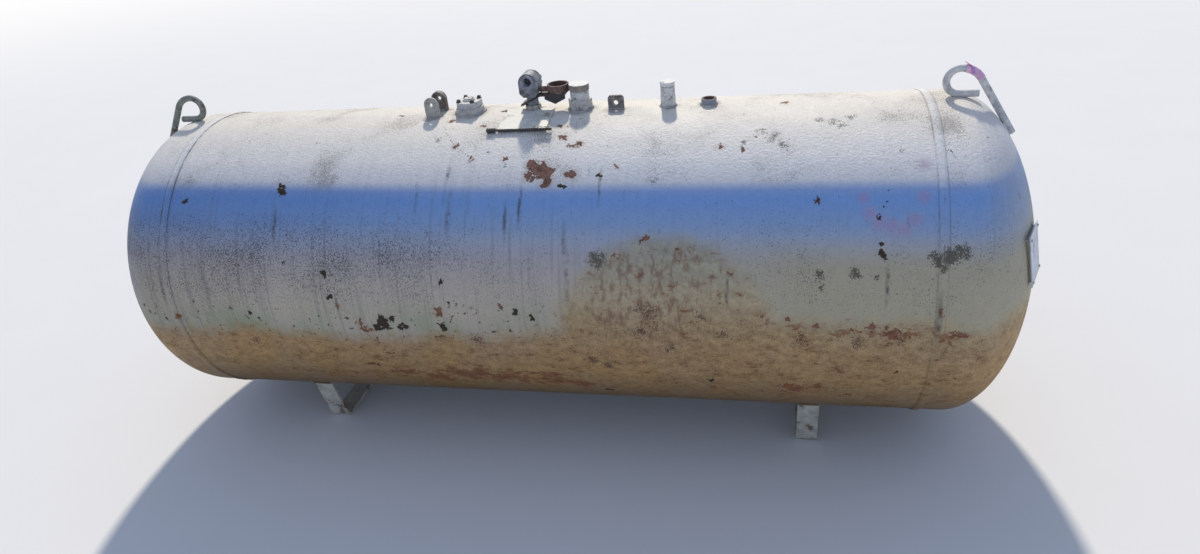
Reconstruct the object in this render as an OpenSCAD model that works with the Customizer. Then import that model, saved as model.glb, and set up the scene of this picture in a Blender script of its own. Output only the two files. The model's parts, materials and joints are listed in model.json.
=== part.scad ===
// Horizontal pressure tank lying on two bent strap feet, with the fittings left on its crown.
// X runs along the tank, Y across it and Z up. The origin is on the floor under the tank's middle.

/* [Tank] */
// Outside diameter of the tank
tank_d = 762; // [640:2:960]
// Length of the cylindrical shell between its two girth seams
shell_l = 1784; // [1500:2:2600]
// Thickness of the rolled shell plate
shell_t = 5; // [3:0.5:10]
// Thickness of the pressed head plate
head_t = 5; // [3:0.5:10]
// Depth of each head's ellipsoidal crown
head_depth = 190; // [150:1:230]
// Straight flange of each head outside its girth seam
flange_l = 54; // [40:1:80]
// Lip of each head that is joggled into the shell
lip_l = 22; // [10:1:40]
// Width of each raised girth weld
weld_w = 20; // [12:1:30]
// Height of each girth weld over the plate
weld_h = 3.5; // [1:0.5:6]

/* [Feet] */
// Distance from each girth seam in to the middle of its strap foot
foot_inset = 241; // [150:1:330]
// Width of the flat bar of each foot
strap_w = 51; // [35:1:80]
// Thickness of that bar
strap_t = 8; // [5:0.5:12]
// Clear height of the tank's underside over the floor
ground_gap = 64; // [45:1:120]
// Angle below the horizontal where the arms meet the shell
strap_meet = 51; // [46:1:58]
// Inward lean of the arms on their way down
strap_lean = 13; // [5:1:20]
// Outer radius of the bar's bends
strap_bend = 22; // [14:1:30]

/* [Lifting lugs] */
// Diameter of the round bar that the lugs are bent from
lug_d = 16; // [12:1:20]
// Centreline radius of the eye's round side
eye_r = 28; // [22:1:36]
// Centreline radius of the bend over the top
lug_top_r = 50; // [42:1:60]
// Lean of the lug's leg from the vertical
lug_lean = 32; // [28:1:38]
// Straight tip past the bottom of the eye
lug_tip_l = 41; // [20:1:55]
// Leg past the place where it touches the head
lug_leg_past = 16; // [8:1:24]

/* [Lid hinge and hasp] */
// Distance of the hinge ears to the left of the tank's middle
ear_x = 263; // [235:1:300]
// Distance between the middles of the two ears
ear_pitch = 57; // [45:1:80]
// Width of each ear
ear_w = 37; // [28:1:46]
// Height of each ear over the crown
ear_h = 48; // [38:1:60]
// Thickness of each ear plate
ear_t = 5; // [3:0.5:8]
// Diameter of the hinge pin's hole through both ears
ear_hole_d = 9; // [6:0.5:12]
// Distance of the hasp tab to the right of the tank's middle
tab_x = 194; // [180:1:220]
// Width of the hasp tab
tab_w = 38; // [30:1:46]
// Height of the hasp tab over the crown
tab_h = 32; // [28:1:44]
// Thickness of the hasp tab
tab_t = 6; // [4:0.5:8]
// Diameter of the hasp tab's padlock hole
tab_hole_d = 11; // [8:0.5:13]

/* [Float gauge] */
// Distance of the gauge to the left of the tank's middle
gauge_x = 175; // [165:1:190]
// Diameter of the welded gauge boss
gauge_boss_d = 70; // [60:1:76]
// Height of the boss over the crown
gauge_boss_h = 15; // [10:1:24]
// Width across the flats of the gauge head
gauge_head_w = 56; // [44:1:60]
// Thickness of the gauge head
gauge_head_h = 15; // [8:1:20]

/* [Service valve] */
// Distance of the service valve to the left of the tank's middle
valve_x = 12; // [10:1:16]
// Diameter of its welded coupling
valve_coupling_d = 38; // [32:1:44]
// Height of that coupling over the crown
valve_coupling_h = 15; // [8:1:16]
// Diameter of the valve's shank
shank_d = 28; // [22:1:32]
// Width of the valve's cast body
valve_body_w = 46; // [40:1:50]
// Length of the body across the tank
valve_body_l = 43; // [38:1:50]
// Distance of the body's front face from the valve's axis
valve_front = 26; // [22:1:30]
// Height of the middle of the body's round top over the crown
valve_body_h = 72; // [68:1:76]
// Diameter of the outlet port's rim
port_d = 32; // [28:1:38]
// Diameter of the port's bore
port_bore_d = 22; // [16:1:24]
// Depth of the port's bore
port_bore_l = 26; // [14:1:32]
// Diameter of the hand wheel
wheel_d = 42; // [34:1:50]

/* [Outlet arm and cup] */
// Distance of the cup's middle from the valve's axis
cup_reach = 65; // [62:1:66]
// Distance of the cup's middle behind the valve's axis
cup_back = 8; // [4:1:12]
// Outside diameter of the open cup
cup_d = 52; // [46:1:53]
// Wall of the cup
cup_wall = 4; // [2:0.5:6]
// Height of the cup
cup_h = 18.5; // [16:0.5:28]
// Thickness of the bracket plate
wing_t = 5; // [3:0.5:7]
// Depth of the bracket across the tank
wing_w = 34; // [30:1:44]

/* [Filler valve] */
// Distance of the filler valve to the right of the tank's middle
filler_x = 106; // [104:1:125]
// Width across the corners of its hexagon coupling
filler_hex_d = 58; // [50:1:62]
// Height of the coupling over the crown
filler_hex_h = 25; // [18:1:28]
// Diameter of the filler body
filler_body_d = 45; // [36:1:48]
// Length of the filler body
filler_body_h = 22; // [16:1:30]
// Diameter of the filler cap
filler_cap_d = 48; // [46:1:51]
// Height of the filler cap
filler_cap_h = 14; // [12:1:20]

/* [Relief valve and open port] */
// Distance of the relief valve to the right of the tank's middle
relief_x = 317; // [270:1:340]
// Outside diameter of the two half couplings
coupling_d = 35; // [30:1:42]
// Height of the relief valve's coupling over the crown
relief_coupling_h = 27; // [20:1:30]
// Length of the relief valve's body
relief_body_h = 22; // [18:1:34]
// Height of the rain cap
relief_cap_h = 9; // [6:1:14]
// Distance of the open port to the right of the tank's middle
open_x = 412; // [385:1:480]
// Height of the open half coupling over the crown
open_h = 15; // [12:1:30]
// Diameter of its threaded hole
open_hole_d = 25; // [18:0.5:26]

/* [Plates] */
// Length of the loose plate on the crown, along the tank
plate_l = 118; // [100:1:130]
// Depth of that plate across the tank
plate_w = 102; // [80:1:120]
// Thickness of the plate
plate_t = 3; // [2:0.5:5]
// Angle of the plate's middle down from the crown
plate_tilt = 8.7; // [8:0.1:12]
// Diameter of the dark rod that lies along the plate's front edge
rod_d = 6; // [4:0.5:9]
// Length of that rod
rod_l = 157; // [130:1:175]
// Width of the bare plate on the right head
badge_w = 92; // [60:1:110]
// Height of the bare plate on the right head
badge_h = 112; // [80:1:130]
// Thickness of that bare plate
badge_t = 2; // [1:0.5:4]

/* [Hidden] */

$fn = 96;
paint = "whitesmoke";
iron = "slategray";
rust = "sienna";

tank_r = tank_d / 2;
axis_h = ground_gap + tank_r;
crown_h = axis_h + tank_r;
head_x = shell_l / 2 + flange_l;
fit_gap = 0.3;
weld_sink = 2;
head_steps = 24;
bend_steps = 8;

// Outline points of a quarter ellipse from its flat end to its pole, as radius and height
function quarter(r, depth, base, turn = 1) =
    [for (i = [0:head_steps]) let (a = 90 * (turn > 0 ? i : head_steps - i) / head_steps)
        [r * cos(a), base + depth * sin(a)]];

module along_x() {
    rotate([0, 90, 0]) children();
}

// The tank's outer shape as one solid, used to seat pieces on it
module tank_cylinder() {
    translate([0, 0, axis_h]) along_x() cylinder(r = tank_r, h = shell_l + 2 * flange_l, center = true);
}

module head_solid() {
    translate([head_x, 0, axis_h]) along_x() rotate_extrude($fn = 180)
        polygon(concat([[0, -flange_l], [tank_r, -flange_l]], quarter(tank_r, head_depth, 0)));
}

// The shell is drilled through under the open coupling, a little wider than its thread
port_margin = 1;

module shell() {
    color(paint) difference() {
        translate([0, 0, axis_h]) along_x() cylinder(r = tank_r, h = shell_l, center = true, $fn = 180);
        translate([0, 0, axis_h]) along_x()
            cylinder(r = tank_r - shell_t, h = shell_l + 2, center = true, $fn = 180);
        translate([open_x, 0, axis_h]) cylinder(d = open_hole_d + 2 * port_margin, h = tank_r + 1);
    }
}

// A pressed head with its lip set in by the shell's thickness, so that it slides into the shell
module head() {
    lip_r = tank_r - shell_t - fit_gap;
    step_l = 2 * head_t + 2;
    color(paint) translate([shell_l / 2, 0, axis_h]) along_x() rotate_extrude($fn = 180) polygon(concat(
        [[lip_r, 0], [tank_r, 0]],
        quarter(tank_r, head_depth, flange_l),
        quarter(tank_r - head_t, head_depth - head_t, flange_l, -1),
        [[tank_r - head_t, step_l], [lip_r - head_t, 0], [lip_r - head_t, -lip_l], [lip_r, -lip_l]]));
}

module girth_weld() {
    bead = [for (i = [0:bend_steps]) let (a = 180 * i / bend_steps)
        [tank_r + weld_h * pow(sin(a), 0.6), -cos(a) * weld_w / 2]];
    color(paint) translate([shell_l / 2, 0, axis_h]) along_x() rotate_extrude($fn = 180) polygon(bead);
}

// Half of a bent strap's outline: along the floor, round the bend and up the arm
function strap_half(base, bend, floor_h, top_h) =
    let (turn = 90 - strap_lean, back = bend * tan(turn / 2))
    concat([for (i = [0:bend_steps]) let (a = turn * i / bend_steps)
            [base - back + bend * sin(a), floor_h + bend - bend * cos(a)]],
        [[base + (top_h - floor_h) * tan(strap_lean), top_h]]);

module strap_outline(base, bend, floor_h, top_h) {
    half = strap_half(base, bend, floor_h, top_h);
    polygon(concat(half, [for (i = [len(half) - 1:-1:0]) [-half[i][0], half[i][1]]]));
}

meet_y = tank_r * cos(strap_meet);
meet_h = axis_h - tank_r * sin(strap_meet);
strap_base = meet_y - meet_h * tan(strap_lean);
strap_inner = strap_base - strap_t * (1 / cos(strap_lean) - tan(strap_lean));

module strap_foot() {
    color(paint) difference() {
        translate([shell_l / 2 - foot_inset - strap_w / 2, 0, 0]) rotate([90, 0, 90]) linear_extrude(strap_w)
            difference() {
                strap_outline(strap_base, strap_bend, 0, meet_h + strap_t);
                strap_outline(strap_inner, strap_bend - strap_t, strap_t, meet_h + 2 * strap_t);
            }
        tank_cylinder();
    }
}

// The lug stands in the middle plane: its eye rests on the head and its leg lies along the head
lean_x = cos(lug_lean);
lean_z = sin(lug_lean);
head_reach = sqrt(pow(head_depth * lean_x, 2) + pow(tank_r * lean_z, 2));
lug_seat = lug_d / 2 - weld_sink;
eye_x = head_x + (head_reach + lug_seat - lug_top_r
    - lean_z * (tank_r + lug_seat + 2 * eye_r - lug_top_r)) / lean_x;
eye_z = axis_h + tank_r * sqrt(1 - pow(max(eye_x - head_x, 0) / head_depth, 2)) + lug_seat + eye_r;
top_z = eye_z + eye_r - lug_top_r;
touch_x = head_x + head_depth * head_depth * lean_x / head_reach;
leg_l = (touch_x - eye_x - lug_top_r * lean_x) / lean_z + lug_leg_past;

// Round bar bent in the X-Z plane about the origin, from +X towards +Z
module bar_bend(bend_r, sweep, d) {
    rotate([90, 0, 0]) rotate_extrude(angle = sweep) translate([bend_r, 0]) circle(d = d, $fn = 32);
}

// Frame of the bend over the top, turned so that the leg runs straight down from its +X side
module at_top_bend() {
    translate([eye_x, 0, top_z]) rotate([0, -lug_lean, 0]) children();
}

// The bends are drawn a little thinner than the straight bar, and run into it
bend_thin = 0.2;
bend_in = 1;
bend_d = lug_d - bend_thin;

// A straight stretch of bar along its own Z, from one end to the other
module bar_straight(low, high) {
    translate([0, 0, low]) cylinder(d = lug_d, h = high - low, $fn = 32);
}

module lifting_lug() {
    color(paint) difference() {
        union() {
            translate([eye_x, 0, eye_z]) rotate([0, -90, 0]) bar_bend(eye_r, 180, bend_d);
            translate([eye_x, 0, eye_z - eye_r]) along_x() bar_straight(-bend_in, lug_tip_l);
            translate([eye_x, 0, eye_z + eye_r]) along_x() bar_straight(-bend_in, bend_in);
            at_top_bend() {
                bar_bend(lug_top_r, 90 - lug_lean, bend_d);
                translate([lug_top_r, 0, 0]) bar_straight(-leg_l, bend_in);
            }
        }
        head_solid();
    }
}

// Marking ribbon wound on the right lug's top bend
ribbon_t = 1.6;
ribbon_from = 3;
ribbon_sweep = 44;

module lug_ribbon() {
    color("orchid") at_top_bend() rotate([0, -ribbon_from, 0]) difference() {
        bar_bend(lug_top_r, ribbon_sweep, lug_d + 2 * ribbon_t);
        rotate([0, 1, 0]) bar_bend(lug_top_r, ribbon_sweep + 2, lug_d);
    }
}

// A plate with a round top, standing across the tank's middle plane
module ear_blank(t) {
    rotate([90, 0, 0]) linear_extrude(t, center = true) {
        translate([-ear_w / 2, -ear_h]) square([ear_w, 2 * ear_h - ear_w / 2]);
        translate([0, ear_h - ear_w / 2]) circle(d = ear_w);
    }
}

ear_hole_h = ear_h * 0.62;
ear_rim = 3;
ear_rim_l = 9;

module at_ear(side) {
    translate([-ear_x, side * ear_pitch / 2, crown_h]) children();
}

module hinge_ear_front() {
    color(paint) difference() {
        at_ear(-1) ear_blank(ear_t);
        at_ear(-1) translate([0, 0, ear_hole_h]) rotate([90, 0, 0])
            cylinder(d = ear_hole_d, h = 3 * ear_t, center = true);
        tank_cylinder();
    }
}

// The rear ear has a folded rim that turns towards the front ear
module hinge_ear_rear() {
    color(paint) difference() {
        at_ear(1) union() {
            ear_blank(ear_t);
            difference() {
                translate([0, -(ear_t + ear_rim_l) / 2, 0]) ear_blank(ear_rim_l);
                translate([0, -(ear_t + ear_rim_l) / 2, 0]) rotate([90, 0, 0])
                    linear_extrude(2 * ear_rim_l, center = true) {
                        translate([ear_rim - ear_w / 2, -2 * ear_h])
                            square([ear_w - 2 * ear_rim, 3 * ear_h - ear_w / 2]);
                        translate([0, ear_h - ear_w / 2]) circle(d = ear_w - 2 * ear_rim);
                    }
            }
        }
        at_ear(1) translate([0, 0, ear_hole_h]) rotate([90, 0, 0])
            cylinder(d = ear_hole_d, h = 3 * ear_t, center = true);
        tank_cylinder();
    }
}

// A round fitting standing on the crown, its foot cut to the shell
module crown_boss(x, d, h, sides = 96) {
    difference() {
        translate([x, 0, crown_h - d / 4]) cylinder(d = d, h = h + d / 4, $fn = sides);
        tank_cylinder();
    }
}

module gauge_boss() {
    color(paint) crown_boss(-gauge_x, gauge_boss_d, gauge_boss_h);
}

// The gauge head is a square with its corners cut, and a low round hub
gauge_turn = -9;
gauge_corner = 13;
hub_d = gauge_head_w * 0.55;
hub_h = 3;
dial_d = hub_d - 3;
dial_slope = 3;
dial_h = 3;

module at_gauge(h) {
    translate([-gauge_x, 0, crown_h + h]) rotate([0, 0, gauge_turn]) children();
}

module gauge_head() {
    w = gauge_head_w / 2;
    c = w - gauge_corner;
    color(iron) at_gauge(gauge_boss_h) {
        linear_extrude(gauge_head_h)
            polygon([[w, c], [c, w], [-c, w], [-w, c], [-w, -c], [-c, -w], [c, -w], [w, -c]]);
        translate([0, 0, gauge_head_h]) cylinder(d = hub_d, h = hub_h);
    }
}

module gauge_dial() {
    color("gainsboro") at_gauge(gauge_boss_h + gauge_head_h + hub_h)
        cylinder(d1 = dial_d, d2 = dial_d - 2 * dial_slope, h = dial_h);
}

// Service valve: coupling, shank and a cast body with its outlet port facing the front, and its
// stem and hand wheel behind
module at_valve(h) {
    translate([-valve_x, 0, crown_h + h]) children();
}

body_drop = 33.5;
body_low = valve_body_h - body_drop;
body_back = valve_body_l - valve_front;
foot_cut = 9;
groove_in = 3;
groove_l = 3;
collar_l = 6;
port_rise = 4;
port_lip = 5;

// Front view of the cast body about the middle of its round top
module valve_outline(inset) {
    half = valve_body_w / 2 - inset;
    low = inset - body_drop;
    circle(r = half);
    polygon([[-half, 0], [-half, low + foot_cut], [foot_cut - half, low],
        [half - foot_cut, low], [half, low + foot_cut], [half, 0]]);
}

// The body's back end is a collar behind a groove
module valve_block() {
    at_valve(valve_body_h) rotate([90, 0, 0]) translate([0, 0, -body_back]) {
        linear_extrude(valve_body_l) valve_outline(groove_in);
        linear_extrude(collar_l) valve_outline(0);
        translate([0, 0, collar_l + groove_l])
            linear_extrude(valve_body_l - collar_l - groove_l) valve_outline(0);
    }
}

module port_bore() {
    at_valve(valve_body_h + port_rise) rotate([90, 0, 0])
        translate([0, 0, valve_front + port_lip - port_bore_l]) cylinder(d = port_bore_d, h = port_bore_l + 1);
}

module valve_coupling() {
    color(iron) crown_boss(-valve_x, valve_coupling_d, valve_coupling_h);
}

module valve_body() {
    color(iron) difference() {
        union() {
            at_valve(valve_coupling_h) cylinder(d = shank_d, h = body_low - valve_coupling_h + groove_in + 3);
            valve_block();
        }
        port_bore();
    }
}

module valve_port() {
    color(iron) difference() {
        at_valve(valve_body_h + port_rise) rotate([90, 0, 0]) translate([0, 0, valve_front])
            cylinder(d = port_d, h = port_lip);
        port_bore();
    }
}

stem_drop = 6;
bonnet_d = wheel_d * 0.62;
bonnet_end_d = wheel_d * 0.4;
bonnet_h = 8;
wheel_h = 9;
wheel_notches = 8;
notch_d = wheel_d * 0.28;
notch_out = 3;

module at_stem(back) {
    at_valve(valve_body_h - stem_drop) rotate([-90, 0, 0]) translate([0, 0, body_back + back]) children();
}

module valve_bonnet() {
    color(iron) at_stem(0) cylinder(d1 = bonnet_d, d2 = bonnet_end_d, h = bonnet_h);
}

module valve_wheel() {
    color(iron) at_stem(bonnet_h) linear_extrude(wheel_h) difference() {
        circle(d = wheel_d);
        for (i = [0:wheel_notches - 1]) rotate(i * 360 / wheel_notches)
            translate([wheel_d / 2 + notch_out, 0]) circle(d = notch_d, $fn = 24);
    }
}

// Bent bracket on the valve's shank: one wing slopes down, the other is level and carries the cup
wing_slope = 25;
wing_over = 3.5;
wing_h = body_low + wing_over;
wing_left = 26;
wing_right = valve_body_w / 2 + 1;
bracket_end = cup_reach + 20;
flap_l = 50;
flap_h = 24;

module valve_bracket() {
    drop = (wing_left + wing_right) * tan(wing_slope);
    color("dimgray") difference() {
        at_valve(0) {
            translate([0, wing_w / 2, 0]) rotate([90, 0, 0]) linear_extrude(wing_w) polygon([
                [wing_right, wing_h], [bracket_end, wing_h], [bracket_end, wing_h - wing_t],
                [wing_right, wing_h - wing_t], [-wing_left, wing_h - wing_t - drop],
                [-wing_left, wing_h - drop]]);
            translate([0, -wing_w / 2 + wing_t, 0]) rotate([90, 0, 0]) linear_extrude(wing_t) polygon([
                [bracket_end - flap_l, wing_h - wing_t / 2], [bracket_end, wing_h - wing_t / 2],
                [bracket_end, wing_h - flap_h / 2], [bracket_end - flap_l / 2, wing_h - flap_h],
                [bracket_end - flap_l, wing_h - flap_h / 2]]);
        }
        at_valve(valve_coupling_h + 1) cylinder(d = shank_d + 2 * fit_gap, h = wing_h);
    }
}

arm_d = 13;

module outlet_arm() {
    color(rust) difference() {
        at_valve(wing_h + cup_h / 2) along_x() cylinder(d = arm_d, h = cup_reach);
        valve_block();
        at_valve(wing_h - 1) translate([cup_reach, cup_back, 0]) cylinder(d = cup_d, h = 2 * cup_h);
    }
}

module outlet_cup() {
    color(rust) at_valve(wing_h) translate([cup_reach, cup_back, 0]) difference() {
        cylinder(d = cup_d, h = cup_h);
        translate([0, 0, cup_wall]) cylinder(d = cup_d - 2 * cup_wall, h = cup_h);
    }
}

module filler_coupling() {
    color(iron) crown_boss(filler_x, filler_hex_d, filler_hex_h, 6);
}

neck_in = 2.5;
neck_h = 2.5;

module filler_body() {
    color(iron) translate([filler_x, 0, crown_h + filler_hex_h]) {
        cylinder(d = filler_body_d, h = filler_body_h - neck_h);
        cylinder(d = filler_body_d - 2 * neck_in, h = filler_body_h);
    }
}

// The cap has a plain top and a fluted grip
cap_top_h = 2.5;
cap_flutes = 28;
flute_d = 3.2;

module filler_cap() {
    color("lightgray") translate([filler_x, 0, crown_h + filler_hex_h + filler_body_h]) {
        linear_extrude(filler_cap_h - cap_top_h) difference() {
            circle(d = filler_cap_d);
            for (i = [0:cap_flutes - 1]) rotate(i * 360 / cap_flutes)
                translate([filler_cap_d / 2 + flute_d / 5, 0]) circle(d = flute_d, $fn = 8);
        }
        cylinder(d = filler_cap_d - flute_d, h = filler_cap_h);
        translate([0, 0, filler_cap_h - cap_top_h]) cylinder(d = filler_cap_d, h = cap_top_h);
    }
}

tab_y = -8;
tab_round = 8;
tab_hole_h = 14.5;

module hasp_tab() {
    color(paint) difference() {
        translate([tab_x, tab_y, crown_h]) rotate([90, 0, 0]) linear_extrude(tab_t, center = true) {
            translate([-tab_w / 2, -tab_h]) square([tab_w, 2 * tab_h - tab_round]);
            translate([tab_round - tab_w / 2, 0]) square([tab_w - 2 * tab_round, tab_h]);
            for (side = [-1, 1]) translate([side * (tab_w / 2 - tab_round), tab_h - tab_round])
                circle(r = tab_round, $fn = 48);
        }
        translate([tab_x, tab_y, crown_h + tab_hole_h]) rotate([90, 0, 0])
            cylinder(d = tab_hole_d, h = 3 * tab_t, center = true);
        tank_cylinder();
    }
}

module relief_coupling() {
    color(iron) crown_boss(relief_x, coupling_d, relief_coupling_h);
}

relief_body_d = coupling_d - 1.5;
relief_cap_d = coupling_d - 1;

module relief_body() {
    color(iron) translate([relief_x, 0, crown_h + relief_coupling_h]) {
        cylinder(d = relief_body_d, h = relief_body_h - neck_h);
        cylinder(d = relief_body_d - 2 * neck_in, h = relief_body_h);
    }
}

module relief_cap() {
    color("lightgray") translate([relief_x, 0, crown_h + relief_coupling_h + relief_body_h])
        cylinder(d = relief_cap_d, h = relief_cap_h);
}

module open_coupling() {
    color(rust) difference() {
        crown_boss(open_x, coupling_d, open_h);
        translate([open_x, 0, crown_h - coupling_d / 2]) cylinder(d = open_hole_d, h = open_h + coupling_d);
    }
}

// A loose flat plate that touches the shell along one line, notched round the valve's coupling
plate_left = 3;

module crown_plate() {
    color("silver") difference() {
        translate([-valve_x - plate_left, 0, axis_h]) rotate([plate_tilt, 0, 0])
            translate([0, 0, tank_r + plate_t / 2]) cube([plate_l, plate_w, plate_t], center = true);
        at_valve(-plate_w / 2) cylinder(d = valve_coupling_d + 3, h = plate_w);
    }
}

// Dark rod along the plate's front edge, held off the shell by a knuckle at its left end
rod_left = 8.5;
rod_turn = asin((plate_w / 2 + rod_d / 2 + fit_gap) / (tank_r + rod_d / 2));
knuckle_d = rod_d + 5;
knuckle_l = 20;

module plate_rod() {
    color("dimgray") translate([-valve_x - rod_left - rod_l / 2, 0, axis_h])
        rotate([plate_tilt + rod_turn, 0, 0]) translate([0, 0, tank_r + fit_gap + knuckle_d / 2]) along_x() {
            cylinder(d = rod_d, h = rod_l);
            cylinder(d = knuckle_d, h = knuckle_l);
        }
}

// Bare plate on the right head, on a frame that is cut to the head
badge_y = -0.6 * tank_r;
badge_z = 0.3 * tank_r;
badge_x = head_depth * sqrt(1 - (badge_y * badge_y + badge_z * badge_z) / (tank_r * tank_r));
normal_x = badge_x / (head_depth * head_depth);
normal_y = badge_y / (tank_r * tank_r);
normal_z = badge_z / (tank_r * tank_r);
badge_rise = acos(normal_z / norm([normal_x, normal_y, normal_z]));
badge_turn = atan2(normal_y, normal_x);
frame_w = 8;
frame_h = 3;

module at_badge(h) {
    translate([head_x + badge_x, badge_y, axis_h + badge_z]) rotate([0, badge_rise, badge_turn])
        translate([0, 0, h]) children();
}

module badge_bracket() {
    color(paint) difference() {
        at_badge(-2 * frame_w) linear_extrude(2 * frame_w + frame_h) difference() {
            square([badge_h - 2 * frame_w, badge_w - 2 * frame_w], center = true);
            square([badge_h - 4 * frame_w, badge_w - 4 * frame_w], center = true);
        }
        head_solid();
    }
}

module badge_plate() {
    color(paint) at_badge(frame_h) linear_extrude(badge_t) square([badge_h, badge_w], center = true);
}

shell();
mirror([1, 0, 0]) head();  // head_left
head();  // head_right
mirror([1, 0, 0]) girth_weld();  // girth_weld_left
girth_weld();  // girth_weld_right
mirror([1, 0, 0]) strap_foot();  // strap_foot_left
strap_foot();  // strap_foot_right
mirror([1, 0, 0]) lifting_lug();  // lifting_lug_left
lifting_lug();  // lifting_lug_right
lug_ribbon();
hinge_ear_front();
hinge_ear_rear();
gauge_boss();
gauge_head();
gauge_dial();
valve_coupling();
valve_body();
valve_port();
valve_bonnet();
valve_wheel();
valve_bracket();
outlet_arm();
outlet_cup();
filler_coupling();
filler_body();
filler_cap();
hasp_tab();
relief_coupling();
relief_body();
relief_cap();
open_coupling();
crown_plate();
plate_rod();
badge_bracket();
badge_plate();
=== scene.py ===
# Weathered horizontal gas tank on strap feet: finishes, weld beads, threads and small fasteners
import json
import math
from functools import partial

import bmesh
import bpy
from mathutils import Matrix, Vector


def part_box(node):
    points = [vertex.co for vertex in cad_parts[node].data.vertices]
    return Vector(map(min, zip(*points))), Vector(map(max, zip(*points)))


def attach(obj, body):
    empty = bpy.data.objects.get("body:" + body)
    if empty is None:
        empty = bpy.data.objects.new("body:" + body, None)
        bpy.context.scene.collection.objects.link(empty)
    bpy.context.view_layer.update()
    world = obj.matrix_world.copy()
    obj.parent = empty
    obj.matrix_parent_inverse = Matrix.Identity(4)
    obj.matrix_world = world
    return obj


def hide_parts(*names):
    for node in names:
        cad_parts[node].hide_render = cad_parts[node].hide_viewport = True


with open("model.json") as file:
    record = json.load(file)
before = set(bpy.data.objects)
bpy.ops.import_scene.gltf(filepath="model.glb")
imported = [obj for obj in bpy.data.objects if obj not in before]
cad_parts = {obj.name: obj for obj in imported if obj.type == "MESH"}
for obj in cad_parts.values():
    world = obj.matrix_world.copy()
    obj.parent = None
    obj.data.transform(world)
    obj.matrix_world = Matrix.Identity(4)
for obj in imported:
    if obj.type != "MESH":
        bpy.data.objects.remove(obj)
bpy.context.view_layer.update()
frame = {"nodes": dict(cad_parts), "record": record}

nodes = frame["nodes"]
mm = 0.001
print("frame loaded with", len(nodes), "nodes")

# Sizes that the finishes and the added pieces share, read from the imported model
shellLow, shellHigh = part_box("shell")
tankRadius = (shellHigh.z - shellLow.z) / 2
axisHeight = (shellHigh.z + shellLow.z) / 2
crownHeight = shellHigh.z
seamX = shellHigh.x


def middle(node):
    low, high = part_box(node)
    return (low + high) / 2


def crownDrop(y):
    return tankRadius - math.sqrt(tankRadius ** 2 - y ** 2)


# Camera at the photograph's place, turn and field of view
photoView = {"place": (0.5585, -1.8224, 1.4101), "turn": (60.584, 5.361, 10.884), "lens": 23.964}
turned = [math.radians(angle) for angle in photoView["turn"]]
bpy.ops.object.camera_add(location=photoView["place"], rotation=turned)
camera = bpy.context.object
camera.name = "photoView"
camera.data.lens = photoView["lens"]
camera.data.sensor_width = 36
bpy.context.scene.camera = camera
bpy.context.scene.view_settings.view_transform = "Standard"
print("camera set")


# Small helpers for colours and nodes
def hexColour(text):
    parts = [int(text[i:i + 2], 16) / 255 for i in (1, 3, 5)]
    return [c / 12.92 if c <= 0.04045 else ((c + 0.055) / 1.055) ** 2.4 for c in parts] + [1]


def addNode(tree, kind, *values, out=0, stops=None, **settings):
    # The kind may name its operation too. Values fill the sockets in order, and None skips one; a setting
    # with a capital is a socket's name. out picks the output, and None gives them all
    kind, *operation = kind.split()
    node = tree.nodes.new("ShaderNode" + kind)
    if operation:
        node.operation = operation[0]
    sockets = dict(enumerate(values))
    for name, value in settings.items():
        if name[0].isupper():
            sockets[name] = value
        else:
            setattr(node, name, value)
    for socket, value in sockets.items():
        if isinstance(value, bpy.types.NodeSocket):
            tree.links.new(value, node.inputs[socket])
        elif isinstance(value, str):
            node.inputs[socket].default_value = hexColour(value)
        elif value is not None:
            node.inputs[socket].default_value = value
    if stops:
        band = node.color_ramp.elements
        while len(band) < len(stops):
            band.new(0.5)
        for element, (place, tone) in zip(band, stops):
            element.position = place
            element.color = hexColour(tone) if isinstance(tone, str) else (tone, tone, tone, 1)
    return node.outputs if out is None else node.outputs[out]


def newMaterial(name, slot, roughness, sheen=0.5):
    # Gives the material, and addNode bound to its own tree
    material = bpy.data.materials.new(name)
    material.use_nodes = True
    material["slot"] = slot
    shader = material.node_tree.nodes["Principled BSDF"]
    shader.inputs["Roughness"].default_value = roughness
    shader.inputs["Specular IOR Level"].default_value = sheen
    return material, partial(addNode, material.node_tree)


def finishMaterial(material, tone, bump, rough=None):
    tree = material.node_tree
    sockets = tree.nodes["Principled BSDF"].inputs
    tree.links.new(tone, sockets["Base Color"])
    tree.links.new(bump, sockets["Normal"])
    if rough:
        tree.links.new(rough, sockets["Roughness"])
    return material


# Floor, background and light: a soft sun low behind the tank and a pale sky, as in the photograph
studio = {
    "floorTone": "#e2e1de",
    "floorPale": "#e6e5e3",
    "skyTone": "#c3d8ff",
    "skyLevel": 0.57,
    "sunFrom": (-0.11, 0.735, 0.669),
    "sunSoftness": 3.0,
    "sunLevel": 3.15,
    "sunTone": "#fff6e7",
    "fadeStart": 4.0,
    "fadeEnd": 14.0,
}


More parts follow.
